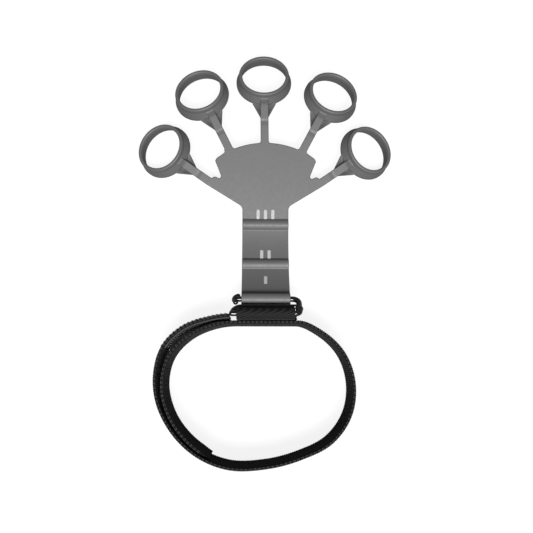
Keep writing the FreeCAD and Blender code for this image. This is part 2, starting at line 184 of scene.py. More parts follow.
def rounded(points, steps=6, closed=False):
    """A line through (x, y, corner radius) points, with each corner that has a radius rounded."""
    result = []
    last = len(points) - 1
    for i, (x, y, radius) in enumerate(points):
        if radius == 0 or (not closed and i in (0, last)):
            result.append((x, y))
            continue
        before, after = points[i - 1], points[(i + 1) % len(points)]
        result += fillet(before[:2], (x, y), after[:2], radius, steps)
    return result


def bar_section(half_y, low, high, radius, spread=1.0):
    """A rounded oblong (y, z) loop. spread widens its rounding across."""
    loop = []
    corners = ((1, 1, 0), (-1, 1, 90), (-1, -1, 180), (1, -1, 270))
    for side, rise, turn in corners:
        rounding = []
        for k in range(CORNER_STEPS + 1):
            a = math.radians(turn + 90 * k / CORNER_STEPS)
            y = side * (half_y - radius * spread) + radius * spread * math.cos(a)
            z = (high - radius if rise > 0 else low + radius) + radius * math.sin(a)
            rounding.append((y, z))
        flat = (side * (half_y - (radius + FLAT_FROM) * spread), high if rise > 0 else low)
        loop += rounding + [flat] if side == rise else [flat] + rounding
    return loop


def smooth(t):
    """From 0 to 1 as t goes from 0 to 1, with no corner at either end."""
    t = max(0.0, min(1.0, t))
    return t * t * (3 - 2 * t)


def joined(name, objects, operation="UNION", sharp=40):
    """One object from several closed ones, added to or cut from the first."""
    target = objects[0]
    for other in objects[1:]:
        step = target.modifiers.new("boolean", "BOOLEAN")
        step.operation = operation
        step.solver = "EXACT"
        step.object = other
    bpy.context.view_layer.update()
    evaluated = target.evaluated_get(bpy.context.evaluated_depsgraph_get())
    bm = bmesh.new()
    bm.from_mesh(bpy.data.meshes.new_from_object(evaluated))
    bmesh.ops.remove_doubles(bm, verts=bm.verts, dist=WELD_ROW)
    for used in objects:
        bpy.data.objects.remove(used)
    return finished(name, bm, sharp)


def finish_with(obj, material):
    """Gives a piece its material."""
    obj.data.materials.clear()
    obj.data.materials.append(material)


# ---------------------------------------------------------------- materials

WAVE_UNIT = 2 * math.pi / 20  # the wave texture's scale for one band per unit


class Surface:
    """A Principled material, built up with a few procedural layers in object coordinates."""

    def __init__(self, name, roughness=0.5, **settings):
        self.material = bpy.data.materials.new(name)
        self.material.use_nodes = True
        self.nodes = self.material.node_tree.nodes
        self.links = self.material.node_tree.links
        self.shader = self.nodes["Principled BSDF"]
        self.shader.inputs["Roughness"].default_value = roughness
        for key, value in settings.items():
            self.shader.inputs[key.replace("_", " ")].default_value = value
        self.place = self.nodes.new("ShaderNodeTexCoord").outputs["Object"]
        self.normal = None

    def node(self, kind, inputs=None, **settings):
        made = self.nodes.new(kind)
        for key, value in settings.items():
            setattr(made, key, value)
        for key, value in (inputs or {}).items():
            if isinstance(value, bpy.types.NodeSocket):
                self.links.new(value, made.inputs[key])
            else:
                made.inputs[key].default_value = value
        return made

    def mapped(self, stretch=(1, 1, 1), turn=(0, 0, 0)):
        """Object coordinates in millimetres, stretched and turned."""
        inputs = {"Vector": self.place, "Scale": [s / MM for s in stretch], "Rotation": turn}
        return self.node("ShaderNodeMapping", inputs).outputs[0]

    def noise(self, size_mm, detail=3.0, stretch=(1, 1, 1)):
        """Noise whose features are about size_mm across, from 0 to 1."""
        inputs = {"Vector": self.mapped(stretch), "Scale": 1 / size_mm, "Detail": detail}
        return self.node("ShaderNodeTexNoise", inputs).outputs["Fac"]

    def spots(self, size_mm, share):
        """Small round spots, 1 inside them."""
        cells = self.node("ShaderNodeTexVoronoi", {"Vector": self.mapped(), "Scale": 1 / size_mm})
        return self.ramp(cells.outputs["Distance"], share, share * 0.6, 0, 1)

    def ramp(self, value, low, high, out_low, out_high):
        """A value between low and high, spread over out_low to out_high."""
        inputs = {"Value": value, "From Min": low, "From Max": high, "To Min": out_low, "To Max": out_high}
        return self.node("ShaderNodeMapRange", inputs).outputs[0]

    def stripes(self, pitch_mm, direction, distortion=0.0):
        """Even ridges along one direction of the row frame, from 0 to 1."""
        turn = Vector((1, 0, 0)).rotation_difference(Vector(direction).normalized()).inverted().to_euler()
        inputs = {"Vector": self.mapped(turn=turn), "Scale": WAVE_UNIT / pitch_mm,
                  "Distortion": distortion, "Detail": 1.0}
        return self.node("ShaderNodeTexWave", inputs, bands_direction="X").outputs["Fac"]

    def colours(self, dark, light, mask):
        """From the dark colour where the mask is 0 to the light one where it is 1."""
        return self.over((*dark, 1), light, mask)

    def over(self, below, light, mask):
        """A colour laid over another where the mask is 1."""
        inputs = {"Factor": mask, "A": below, "B": (*light, 1)}
        return self.node("ShaderNodeMix", inputs, data_type="RGBA").outputs["Result"]

    def base(self, colour):
        self.links.new(colour, self.shader.inputs["Base Color"])

    def rough(self, value):
        self.links.new(value, self.shader.inputs["Roughness"])

    def bump(self, height, depth_mm):
        """Adds relief of this depth to the normal."""
        inputs = {"Height": height, "Strength": 1.0, "Distance": depth_mm * MM}
        if self.normal is not None:
            inputs["Normal"] = self.normal
        self.normal = self.node("ShaderNodeBump", inputs).outputs[0]
        self.links.new(self.normal, self.shader.inputs["Normal"])


def grey(value):
    return (value, value, value)


def silicone():
    """Matte mid-grey moulding: a faint cloud, a little dust and a fine grain."""
    s = Surface("silicone", Specular_IOR_Level=0.4)
    cloud = s.noise(14, 2)
    grain = s.noise(0.35, 4)
    colour = s.colours(grey(0.074), grey(0.083), cloud)
    dust = s.node("ShaderNodeMath", {0: s.spots(2.6, 0.055), 1: 0.5}, operation="MULTIPLY").outputs[0]
    s.base(s.over(colour, grey(0.13), dust))
    s.rough(s.ramp(s.noise(1.6, 4), 0.3, 0.7, 0.48, 0.58))
    s.bump(s.noise(5, 2), 0.04)
    s.bump(grain, 0.008)
    return s.material


def mark_ink():
    """Pale pad-printed ink, a little uneven."""
    s = Surface("mark_ink", Specular_IOR_Level=0.3)
    s.base(s.colours(grey(0.26), grey(0.34), s.ramp(s.noise(0.5, 4), 0.35, 0.65, 0, 1)))
    s.rough(s.ramp(s.noise(0.8, 3), 0.3, 0.7, 0.45, 0.65))
    s.bump(s.noise(0.3, 3), 0.012)
    return s.material


def hook_plastic():
    """Glossy black plastic with faint flow lines along the bars."""
    s = Surface("hook_plastic", Specular_IOR_Level=0.6)
    s.base(s.colours(grey(0.004), grey(0.009), s.noise(3, 3)))
    s.rough(s.ramp(s.noise(0.6, 5, (1, 4, 4)), 0.3, 0.7, 0.1, 0.2))
    s.bump(s.noise(1.8, 2), 0.012)
    s.bump(s.noise(0.2, 4), 0.003)
    return s.material


def band_fabric():
    """Black brushed loop pile with a few pale flecks."""
    s = Surface("band_fabric", 0.85, Specular_IOR_Level=0.06, Sheen_Weight=0.03, Sheen_Roughness=0.5)
    s.shader.inputs["Sheen Tint"].default_value = (*grey(0.6), 1)
    pile = s.noise(0.28, 5)
    s.base(s.over(s.colours(grey(0.001), grey(0.01), pile), grey(0.05), s.spots(1.3, 0.09)))
    s.rough(s.ramp(s.noise(0.5, 3), 0.3, 0.7, 0.75, 0.95))
    s.bump(s.noise(0.55, 3), 0.12)
    s.bump(pile, 0.1)
    return s.material


def webbing():
    """Black webbing with a diagonal twill."""
    s = Surface("webbing", 0.7, Specular_IOR_Level=0.08, Sheen_Weight=0.03, Sheen_Roughness=0.4)
    yarn = s.noise(0.22, 4, (1, 2.5, 2.5))
    ridges = s.stripes(0.95, (-0.25, 0.68, 0.68), 0.35)
    s.base(s.over(s.colours(grey(0.001), grey(0.006), yarn), grey(0.014), ridges))
    s.bump(ridges, 0.1)
    s.rough(s.ramp(s.noise(0.4, 3), 0.3, 0.7, 0.55, 0.8))
    s.bump(yarn, 0.08)
    return s.material


def tape_hooks():
    """Dark moulded nylon."""
    s = Surface("hook_tape", 0.5, Specular_IOR_Level=0.4)
    s.base(s.colours(grey(0.008), grey(0.025), s.noise(0.4, 4)))
    s.rough(s.ramp(s.noise(0.5, 3), 0.3, 0.7, 0.4, 0.6))
    s.bump(s.noise(0.3, 3), 0.05)
    return s.material


def thread():
    """Dark polyester thread, lighter than the cloth that it holds."""
    s = Surface("thread", 0.6, Specular_IOR_Level=0.3, Sheen_Weight=0.08, Sheen_Roughness=0.4)
    s.base(s.colours(grey(0.012), grey(0.06), s.noise(0.18, 3)))
    s.rough(s.ramp(s.noise(0.3, 3), 0.3, 0.7, 0.5, 0.7))
    s.bump(s.noise(0.15, 2), 0.05)
    return s.material


SILICONE = silicone()
INK = mark_ink()
PLASTIC = hook_plastic()
BAND = band_fabric()
WEBBING = webbing()
TAPE = tape_hooks()
THREAD = thread()


# ---------------------------------------------------------------- silicone hand

HALF_T = 1.3                  # half the thickness of palm, arms and strip
EDGE_R = 0.42                 # rounding along every edge of the moulding
ARM_W, STRIP_W = 4.2, 24.4
STRIP_BEND_R = 50.0           # the strip curves up beyond the hub
NECK_R = 3.3                  # the inner corner where the strip widens into the palm
ROOT_R = 1.2                  # fillet where an arm leaves the palm
FINGERS = range(1, 6)
OUTER = (1, 5)
CUT_BEFORE, CUT_BEFORE_OUTER = 1.2, 0.8     # the palm's mesh ends this far before an arm's hinge

# The palm's right side, up from the strip: (x, y, corner radius) in the hand frame
NECK_LINE = ((14.53, 8.7), (31.0, 18.7))
WING = (
    (28.6, 22.2, 0.6),
    (26.9, 23.1, 1.2),
    (24.3, 22.0, 0.5),
    (23.5, 23.2, 0.5),
    (26.7, 31.2, 0.7),
    (25.9, 32.7, 0.7),
)
WING_END = (20.3, 36.6)
TOP_ARC = ((17.5, 37.36), 40.9)   # its end and its highest y
SEAM_V = 13.0                 # the palm ends and the strip's sections start
STRIP_STEP = 0.5
THINNEST_STEP = 0.03          # sections closer than this are one section

TUNNEL_R, TUNNEL_BORE_R = 3.2, MOUNTS["strong_tunnel"]["dims"]["r_mm"]
TUNNEL_FILLET = 0.7
TUNNEL_EDGE, TUNNEL_EDGE_STEP = 2.7, 0.12   # finer sections over each tunnel's fillet
BORE_MOUTH = ((-1.0, 0.5), (0.0, 0.3), (0.25, 0.07), (0.5, 0.0))  # depth, and what it adds to the bore


def along_of(point):
    """How far along the strip a point of the row frame lies, from the hub."""
    local = TO_HAND @ Vector(point)
    if local.y >= 0:
        return -local.y
    return STRIP_BEND_R * math.atan2(-local.y, STRIP_BEND_R - local.z)


TUNNEL_AT = [
    along_of(MOUNTS["strong_tunnel"]["pos_m"]),
    along_of(MOUNTS["middle_tunnel"]["pos_m"]),
    along_of(JOINTS["hook_swing"]["pos_m"]),
]


def strip_place(x, along, off):
    """A point of the strip in the hand frame: across, along from the hub, above its middle."""
    if along <= 0:
        return Vector((x, -along, off))
    turn = along / STRIP_BEND_R
    radius = STRIP_BEND_R - off
    return Vector((x, -radius * math.sin(turn), STRIP_BEND_R - radius * math.cos(turn)))


def neck_width(v):
    """Half the silicone's width at a distance above the hub, and how fast it widens."""
    (x0, v0), (x1, v1) = NECK_LINE
    widen = (x1 - x0) / (v1 - v0)
    half = STRIP_W / 2
    corner_v = v0 - (x0 - half) / widen
    angle = math.atan(widen)
    low_v = corner_v - NECK_R * math.tan(angle / 2)
    high_v = low_v + NECK_R * math.sin(angle)
    if v >= high_v:
        return x0 + (v - v0) * widen, widen
    if v <= low_v:
        return half, 0.0
    rise = v - low_v
    inside = math.sqrt(NECK_R ** 2 - rise ** 2)
    return half + NECK_R - inside, rise / inside


def strip_height(along):
    """Half the strip's thickness: its plate, and a round swelling at each tunnel."""
    best = HALF_T if along < TUNNEL_AT[-1] else 0.0
    reach = math.sqrt((TUNNEL_R + TUNNEL_FILLET) ** 2 - (HALF_T + TUNNEL_FILLET) ** 2)
    tangent = reach * TUNNEL_R / (TUNNEL_R + TUNNEL_FILLET)
    for at in TUNNEL_AT:
        away = abs(along - at)
        past_end = along > TUNNEL_AT[-1]
        if away <= tangent or (past_end and away < TUNNEL_R):
            best = max(best, math.sqrt(TUNNEL_R ** 2 - away ** 2))
        elif away < reach and not past_end:
            best = max(best, HALF_T + TUNNEL_FILLET - math.sqrt(TUNNEL_FILLET ** 2 - (reach - away) ** 2))
    return best


def strip_stations():
    """Where the strip's sections lie: even steps, and finer over each tunnel."""
    stations = [-SEAM_V + STRIP_STEP * k for k in range(int(SEAM_V / STRIP_STEP))]
    stations += [STRIP_STEP * k for k in range(int(TUNNEL_AT[-1] / STRIP_STEP))]
    for at in TUNNEL_AT:
        turn = [math.radians(a) for a in range(-86, 90, 4)]
        stations += [at + TUNNEL_R * math.sin(a) for a in turn]
        stations += [at + side * (TUNNEL_EDGE + TUNNEL_EDGE_STEP * k) for side in (-1, 1) for k in range(8)]
    end = TUNNEL_AT[-1] + TUNNEL_R
    stations = sorted(s for s in stations if -SEAM_V <= s < end)
    return [s for s, after in zip(stations, stations[1:] + [end]) if after - s > THINNEST_STEP]


def strip_section(along):
    """The strip's outline at one place along it, in the hand frame."""
    half, widen = neck_width(-along) if along < 0 else (STRIP_W / 2, 0.0)
    high = strip_height(along)
    radius = min(EDGE_R, high * 0.8)
    spread = math.hypot(1, widen) if radius == EDGE_R else EDGE_R / radius
    loop = bar_section(half, -high, high, radius, spread)
    return [strip_place(x, along, z) for x, z in loop]


def arm_edge(number, side, at):
    """A point on one side of an arm, in the palm's plane. side 1 is its clockwise side."""
    along = (TO_HAND.to_3x3() @ finger_axes(number)[0]).normalized()
    right = Vector((along.y, -along.x))
    return Vector((along.x, along.y)) * at + right * (side * ARM_W / 2)


def arm_hinge(number):
    """How far from the hub an arm's flexing line lies."""
    return (TO_HAND @ Vector(JOINTS[f"arm_{number}_bend"]["pos_m"])).length


def arm_cut(number):
    """How far from the hub the palm's own mesh ends on each arm."""
    return arm_hinge(number) - (CUT_BEFORE_OUTER if number in OUTER else CUT_BEFORE)


def crossing(a, b, c, d):
    """Where the line through a and b meets the line through c and d."""
    a, b, c, d = Vector(a), Vector(b), Vector(c), Vector(d)
    run, other = b - a, d - c
    share = (c - a).cross(other) / run.cross(other)
    return a + run * share


def arc_meets(number, side):
    """Where an arm's side meets the palm's top arc, and that point's angle on the arc."""
    (half, end_y), top = TOP_ARC
    sag = top - end_y
    radius = (half ** 2 + sag ** 2) / (2 * sag)
    centre = Vector((0, top - radius))
    start, ahead = arm_edge(number, side, 0), arm_edge(number, side, 1)
    run = ahead - start
    away = start - centre
    reach = -away.dot(run) + math.sqrt(away.dot(run) ** 2 - away.dot(away) + radius ** 2)
    point = start + run * reach
    return point, math.atan2(point.y - centre.y, point.x), centre, radius


def top_chain(right_arm, left_arm):
    """The palm's edge between two arms, along the top arc."""
    a, start, centre, radius = arc_meets(right_arm, -1)
    b, end, _, _ = arc_meets(left_arm, 1)
    between = arc_points(centre, radius, start, end, 16)[2:-2]   # the rest lies under the fillets
    line = [(*arm_edge(right_arm, -1, arm_cut(right_arm)), 0), (*a, ROOT_R)]
    line += [(*p, 0) for p in between]
    line += [(*b, ROOT_R), (*arm_edge(left_arm, 1, arm_cut(left_arm)), 0)]
    return rounded(line)


def palm_chains():
    """The palm's edge in pieces, anticlockwise, each from one cut to the next."""
    seam, _ = neck_width(SEAM_V)
    lower = [(seam, SEAM_V), NECK_LINE[1], tuple(arm_edge(5, 1, arm_cut(5)))]
    root = crossing(WING[-1][:2], WING_END, arm_edge(4, 1, 0), arm_edge(4, 1, 1))
    wing = [(*arm_edge(5, -1, arm_cut(5)), 0), *WING, (*root, ROOT_R)]
    wing.append((*arm_edge(4, 1, arm_cut(4)), 0))
    right = [lower, rounded(wing)]
    left = [[(-x, y) for x, y in reversed(chain)] for chain in reversed(right)]
    return right + [top_chain(4, 3), top_chain(3, 2)] + left


def inset(chain, distance):
    """A chain moved into the silicone. Its ends stay in their cuts."""
    points = [Vector(p) for p in chain]
    result = []
    for i, p in enumerate(points):
        ahead = (points[min(i + 1, len(points) - 1)] - points[min(i, len(points) - 2)]).normalized()
        back = (points[max(i, 1)] - points[max(i - 1, 0)]).normalized()
        left = Vector((-(ahead.y + back.y), ahead.x + back.x)).normalized()
        share = max(0.3, left.dot(Vector((-ahead.y, ahead.x))))
        if abs(p.y - SEAM_V) < 1e-6 and i in (0, len(points) - 1):
            run = ahead if i == 0 else back
            left, share = Vector((-math.copysign(1, p.x), 0)), abs(run.y)
        result.append(p + left * (distance / share))
    return result


def palm_mesh(bm):
    """The palm: two flat faces and a rounded edge between the cuts."""
    chains = palm_chains()
    rises = [math.radians(90 * k / CORNER_STEPS) for k in range(CORNER_STEPS + 1)]
    profile = [(EDGE_R * (1 - math.cos(a)), HALF_T - EDGE_R + EDGE_R * math.sin(a)) for a in rises]
    profile.append((EDGE_R + FLAT_FROM, HALF_T))
    profile = [(d, -z) for d, z in reversed(profile)] + profile
    top, bottom, caps = [], [], []
    for chain in chains:
        rows = []
        for distance, z in profile:
            rows.append([bm.verts.new((p.x, p.y, z)) for p in inset(chain, distance)])
        for a, b in zip(rows, rows[1:]):
            for i in range(len(a) - 1):
                bm.faces.new((a[i], a[i + 1], b[i + 1], b[i]))
        bottom += rows[0]
        top += rows[-1]
        caps.append(([r[0] for r in rows], [r[-1] for r in rows]))
    bm.faces.new(top)
    bm.faces.new(list(reversed(bottom)))
    for (_, end), (start, _) in zip(caps, caps[1:]):
        bm.faces.new(end + list(reversed(start)))


def strip_mesh(bm):
    """The strip from the seam to its end, open at the seam."""
    rows = bridge(bm, [strip_section(s) for s in strip_stations()], closed_ends=False)
    bm.faces.new(rows[-1])


def hand_mesh(bm):
    """Palm and strip, welded at the seam."""
    palm_mesh(bm)
    strip_mesh(bm)
    bmesh.ops.remove_doubles(bm, verts=bm.verts, dist=WELD_LOCAL)


def tunnel_bore(along):
    """A rod through one tunnel, flared a little at both mouths."""
    right = [(STRIP_W / 2 - depth, TUNNEL_BORE_R + wider) for depth, wider in reversed(BORE_MOUTH)]
    stations = [(-x, radius) for x, radius in reversed(right)] + right
    middle = strip_place(0, along, 0)

    def fill(bm):
        loops = []
        for x, radius in stations:
            loops.append([(x, middle.y + c, middle.z + s)
                          for c, s in arc_points((0, 0), radius, 0, 2 * math.pi, 48)[:-1]])
        bridge(bm, loops)

    return piece("bore", fill, HAND)


def silicone_hand():
    """Palm and strip in one moulding, the strip curving up beyond the hub."""
    whole = piece("hand", hand_mesh, HAND)
    bores = [tunnel_bore(at) for at in TUNNEL_AT]
    obj = joined("silicone_hand", [whole, *bores], "DIFFERENCE")
    finish_with(obj, SILICONE)
    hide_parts("palm_plate", "strip")
    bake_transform(obj)


# ---------------------------------------------------------------- arms and rings

BAR_JOINT = 2.6               # beyond the flexing line, where arm and ring meshes meet
STUB_LENGTH = 23.5            # ring centre back to the crease where the ring's bar starts
ARM_STEP, BAR_STEP = 0.3, 0.35
CREASE_DIP, CREASE_REACH, CREASE_BEYOND = 0.22, 2.4, 1.2
STUB_RISE, STUB_RISE_OVER = 0.3, 13.5   # the bar's upper face rises this much over this length
BAR_DROP, BAR_DROP_REACH, RING_WALL_AT = 0.7, 3.0, 12.5     # and drops just before the ring's wall
IN_WALL = 0.75                # from the hole's edge to the middle of the ring's wall
BAR_LEAN_FROM = 6.0           # beyond the crease, the bar's sections start to lean as the wall does
WEB_LENGTH, WEB_END, WEB_HALF = 21.5, 12.6, 6.2     # its ends from the ring's centre, half its width
WEB_UNDER_BAR, WEB_BELOW, WEB_STEPS = 0.3, 1.9, 26
LAND = MOUNTS["finger_hole_1"]["dims"]["length_mm"]
RIM_W, RIM_H = 1.9, 2.2
FLANGE_W, FLANGE_H, FLARE = 3.3, 1.3, 1.3
RING_STEPS = 112


def ring_centre(number):
    return finger_frame(number).inverted() @ ring_frame(number).translation


def crease_at(number):
    """Where the crease lies, along the finger's frame."""
    return ring_centre(number).x - STUB_LENGTH


def arm_start(number):
    """Where the palm's own mesh ends, along the finger's frame."""
    return arm_cut(number) - arm_hinge(number)


def bar_top(x, crease):
    """Height of the bar's upper face: a shallow dip at the crease, a rise, then a drop at the ring."""
    if x <= crease:
        return HALF_T - CREASE_DIP * smooth(1 - (crease - x) / CREASE_REACH)
    beyond = x - crease
    drop = BAR_DROP * smooth(1 - (STUB_LENGTH - RING_WALL_AT - beyond) / BAR_DROP_REACH)
    dip = CREASE_DIP * smooth(1 - beyond / CREASE_BEYOND)
    return HALF_T + STUB_RISE * beyond / STUB_RISE_OVER - drop - dip


def arm_mesh(number):
    """The arm from the palm's cut to where the ring's own mesh starts."""
    start, crease = arm_start(number), crease_at(number)
    count = int((BAR_JOINT - start) / ARM_STEP)

    def fill(bm):
        loops = []
        for k in range(count + 1):
            x = start + (BAR_JOINT - start) * k / count
            section = bar_section(ARM_W / 2, -HALF_T, bar_top(x, crease), EDGE_R)
            loops.append([(x, y, z) for y, z in section])
        bridge(bm, loops)

    return fill


def ring_bar_mesh(number):
    """The bar from the arm's mesh, past the crease, into the ring's wall, which cuts its end."""
    crease = crease_at(number)
    lean = ring_frame(number).to_3x3() @ Vector((0, 0, 1))
    lean = finger_frame(number).to_3x3().inverted() @ lean
    last = ring_centre(number).x - MOUNTS[f"finger_hole_{number}"]["dims"]["r_mm"] - IN_WALL + 1.2

    def fill(bm):
        loops = []
        count = int((last - BAR_JOINT) / BAR_STEP)
        for k in range(count + 1):
            x = BAR_JOINT + (last - BAR_JOINT) * k / count
            section = bar_section(ARM_W / 2, -HALF_T, bar_top(x, crease), EDGE_R)
            lean_share = smooth((x - crease - BAR_LEAN_FROM) / (last - crease - BAR_LEAN_FROM))
            loops.append([(x + lean_share * z * lean.x / lean.z, y, z) for y, z in section])
        bridge(bm, loops)

    return fill


def web_mesh(number):
    """The thin webs on both sides of the bar, dished between the bar and a beaded edge."""
    centre = ring_centre(number)
    narrow, wide = centre.x - WEB_LENGTH, centre.x - WEB_END
    bottom = -HALF_T - WEB_BELOW
    across = [k / 12 for k in range(-12, 13)]
    start_half = ARM_W / 2 - WEB_UNDER_BAR

    def fill(bm):
        loops = []
        for k in range(WEB_STEPS + 1):
            share = k / WEB_STEPS
            x = narrow + (wide - narrow) * share
            half = start_half + (WEB_HALF - start_half) * min(1, share * 1.15)
            edge = -0.7 - 0.8 * smooth(share * 1.3)
            deep = -0.8 - 1.6 * smooth(share * 1.6)
            upper = []
            for t in across:
                y = t * half
                out = max(0.0, (abs(y) - ARM_W / 2) / max(0.1, half - ARM_W / 2))
                rise = (edge - deep) * smooth(out / 0.9)
                fall = 0.4 * max(0.0, (out - 0.92) / 0.08)
                upper.append((x, y, deep + rise - fall))
            low = [(x, y, bottom) for x, y, _ in reversed(upper)]
            loops.append(upper + low)
        bridge(bm, loops)

    return fill


def ring_profile(bore_r):
    """(radius, height) round the ring's wall: rim, skirt, flange and the flared hole."""
    top, bottom = RING_H / 2, -RING_H / 2
    return rounded([
        (bore_r, top, 0.75),
        (bore_r, top - LAND, 0.6),
        (bore_r + FLARE, bottom, 0.25),
        (bore_r + FLANGE_W, bottom, 0.35),
        (bore_r + FLANGE_W, bottom + FLANGE_H, 0.7),
        (bore_r + RIM_W, top - RIM_H, 0.8),
        (bore_r + RIM_W, top, 0.85),
    ], steps=6, closed=True)


def ring_mesh(bm, bore_r):
    """The ring's wall, turned once round its hole."""
    profile = ring_profile(bore_r)
    loops = []
    for k in range(RING_STEPS):
        turn = 2 * math.pi * k / RING_STEPS
        loops.append([bm.verts.new((r * math.cos(turn), r * math.sin(turn), z)) for r, z in profile])
    for a, b in zip(loops, loops[1:] + loops[:1]):
        for i in range(len(a)):
            j = (i + 1) % len(a)
            bm.faces.new((a[i], a[j], b[j], b[i]))


def finger(number):
    """One finger's arm and ring."""
    at = finger_frame(number)
    arm = piece(f"silicone_arm_{number}", arm_mesh(number), at)
    finish_with(arm, SILICONE)
    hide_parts(f"finger_arm_{number}")
    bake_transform(arm)

    bore_r = MOUNTS[f"finger_hole_{number}"]["dims"]["r_mm"]
    wall = piece("ring", lambda bm: ring_mesh(bm, bore_r), ring_frame(number))
    bar = piece("bar", ring_bar_mesh(number), at)
    web = piece("web", web_mesh(number), at)
    ring = joined(f"silicone_ring_{number}", [wall, bar, web])
    finish_with(ring, SILICONE)
    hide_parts(f"finger_ring_{number}")
    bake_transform(ring)


# ---------------------------------------------------------------- level marks

MARK_AT = {3: -3.2, 2: 18.9, 1: 34.4}   # bars in each mark, and how far along the strip it is
MARK_LENGTH, MARK_WIDTH, MARK_PITCH, MARK_RAISED = 5.0, 1.7, 3.9, 0.12


def level_mark(count):
    """A row of printed bars with round ends, laid on the strip's curve."""
    def fill(bm):
        for k in range(count):
            middle = (k - (count - 1) / 2) * MARK_PITCH
            outline = []
            for side, end in ((1, 1), (1, -1), (-1, -1), (-1, 1)):
                outline.append((side * MARK_WIDTH / 2, end * MARK_LENGTH / 2, MARK_WIDTH * 0.42))
            loop = rounded(outline, steps=5, closed=True)
            rows = []
            for shrink, rise in ((0, -0.05), (0, MARK_RAISED * 0.6), (0.1, MARK_RAISED), (0.4, MARK_RAISED)):
                row = []
                for x, y in loop:
                    x *= 1 - shrink / (MARK_WIDTH / 2)
                    y *= 1 - shrink / (MARK_LENGTH / 2)
                    row.append(strip_place(middle + x, MARK_AT[count] + y, HALF_T + rise))
                rows.append(row)
            bridge(bm, rows)

    obj = piece(f"printed_mark_{count}", fill, HAND)
    finish_with(obj, INK)
    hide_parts(f"level_mark_{count}")
    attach(obj, "strip")


# ---------------------------------------------------------------- band

BAND_W, BAND_T = 22.0, 2.0
RIB_PITCH, RIB_DEPTH = 1.05, 0.13
# The band's middle line seen from above, from its inner tip round to its outer end.
# A third value is the heading in degrees where the band runs straight.
BAND_LINE = (
    (-26.3, -43.0),
    (-38.0, -34.7),
    (-46.5, -22.8),
    (-49.8, -8.0),
    (-46.9, 3.8),
    (-38.7, 12.9),
    (-27.5, 18.4),
    (-14.8, 20.4, 0.0),
    (15.6, 20.4, 0.0),
    (27.3, 15.6),
    (38.0, 5.0),
    (42.4, -8.7),
    (40.3, -23.8),
    (31.6, -35.8),
    (16.5, -43.4),
    (-1.0, -47.6),
    (-18.5, -47.6),
    (-32.2, -42.2),
    (-45.6, -29.6),
    (-52.4, -15.0),
    (-53.3, -4.6),
    (-49.8, 8.6),
    (-40.8, 17.6),
    (-28.5, 22.2),
    (-17.9, 23.8),
)
TAIL_FROM, TAPE_FROM, TAIL_END = 20, 21, len(BAND_LINE) - 1     # points of the line
SHIFT = Vector(JOINTS["band_peel"]["pos_m"]) / MM - Vector((*BAND_LINE[TAIL_FROM][:2], 0))
BAND_FRAME = Matrix.Scale(MM, 4) @ Matrix.Translation(SHIFT)
EDGE_THREAD_R, EDGE_THREAD_OFF = 0.13, 0.35
TAPE_ROW_Z = 2.4              # the tape's stitch rows, in from the band's edges
PILE_RISE, PILE_FROM_Y, PILE_TO_X = 0.5, 0.0, -19.0    # loop pile that rises to the hook tape
PILE_SPREAD = 4.0             # over which it rises and falls
TIP_TAPER, TIP_SHARE = 6.0, 0.3     # the inner tip thins out over this length, to this share
SPLINE_STEPS = 40             # fine steps between two points of the band's line


def band_headings():
    """The band's direction at each point of its line."""
    places = [Vector(p[:2]) for p in BAND_LINE]
    found = []
    for i, p in enumerate(BAND_LINE):
        if len(p) == 3:
            found.append(Vector((math.cos(math.radians(p[2])), math.sin(math.radians(p[2])))))
            continue
        j = min(max(i, 1), len(places) - 2)
        back, ahead = places[j] - places[j - 1], places[j + 1] - places[j]
        middle = (back.normalized() * ahead.length + ahead.normalized() * back.length).normalized()
        if i != j:
            chord = (ahead if i > j else back).normalized()
            middle = chord * (2 * chord.dot(middle)) - middle
        found.append(middle)
    return places, found


def band_line(first, last, step):
    """(place, heading, distance) along the band's line, about step apart."""
    places, turns = band_headings()
    fine = []
    for i in range(first, last):
        chord = (places[i + 1] - places[i]).length
        for k in range(SPLINE_STEPS):
            t = k / SPLINE_STEPS
            a, b = 2 * t ** 3 - 3 * t ** 2 + 1, t ** 3 - 2 * t ** 2 + t
            c, d = -2 * t ** 3 + 3 * t ** 2, t ** 3 - t ** 2
            fine.append(places[i] * a + turns[i] * chord * b + places[i + 1] * c + turns[i + 1] * chord * d)
    fine.append(places[last])
    gone = [0.0]
    for a, b in zip(fine, fine[1:]):
        gone.append(gone[-1] + (b - a).length)
    count = max(2, round(gone[-1] / step))
    result, i = [], 0
    for k in range(count + 1):
        want = gone[-1] * k / count
        while i < len(gone) - 2 and gone[i + 1] < want:
            i += 1
        share = (want - gone[i]) / (gone[i + 1] - gone[i])
        place = fine[i].lerp(fine[i + 1], share)
        before, after = fine[max(i - 1, 0)], fine[min(i + 2, len(fine) - 1)]
        result.append((place, (after - before).normalized(), want))
    return result


def band_section(half, ripple):
    """(offset, z) round the band: two ribbed faces and thicker, round woven edges."""
    edge = 1.5
    loop = []
    for side, levels in ((1, (0.12, 0.3, 0.5, 0.7, 0.88)), (-1, (0.88, 0.7, 0.5, 0.3, 0.12))):
        for level in levels:
            swell = -0.12 if 0.2 < level < 0.8 else 0.0
            loop.append((side * (half + swell + ripple), level * BAND_W))
        top = side > 0
        for k in range(7):
            a = math.radians(180 * k / 6)
            out = math.cos(a) * side
            rise = math.sin(a)
            middle = BAND_W - edge if top else edge
            z = middle + (edge * rise if top else -edge * rise)
            loop.append((out * (half + ripple * 0.9), z))
    return loop


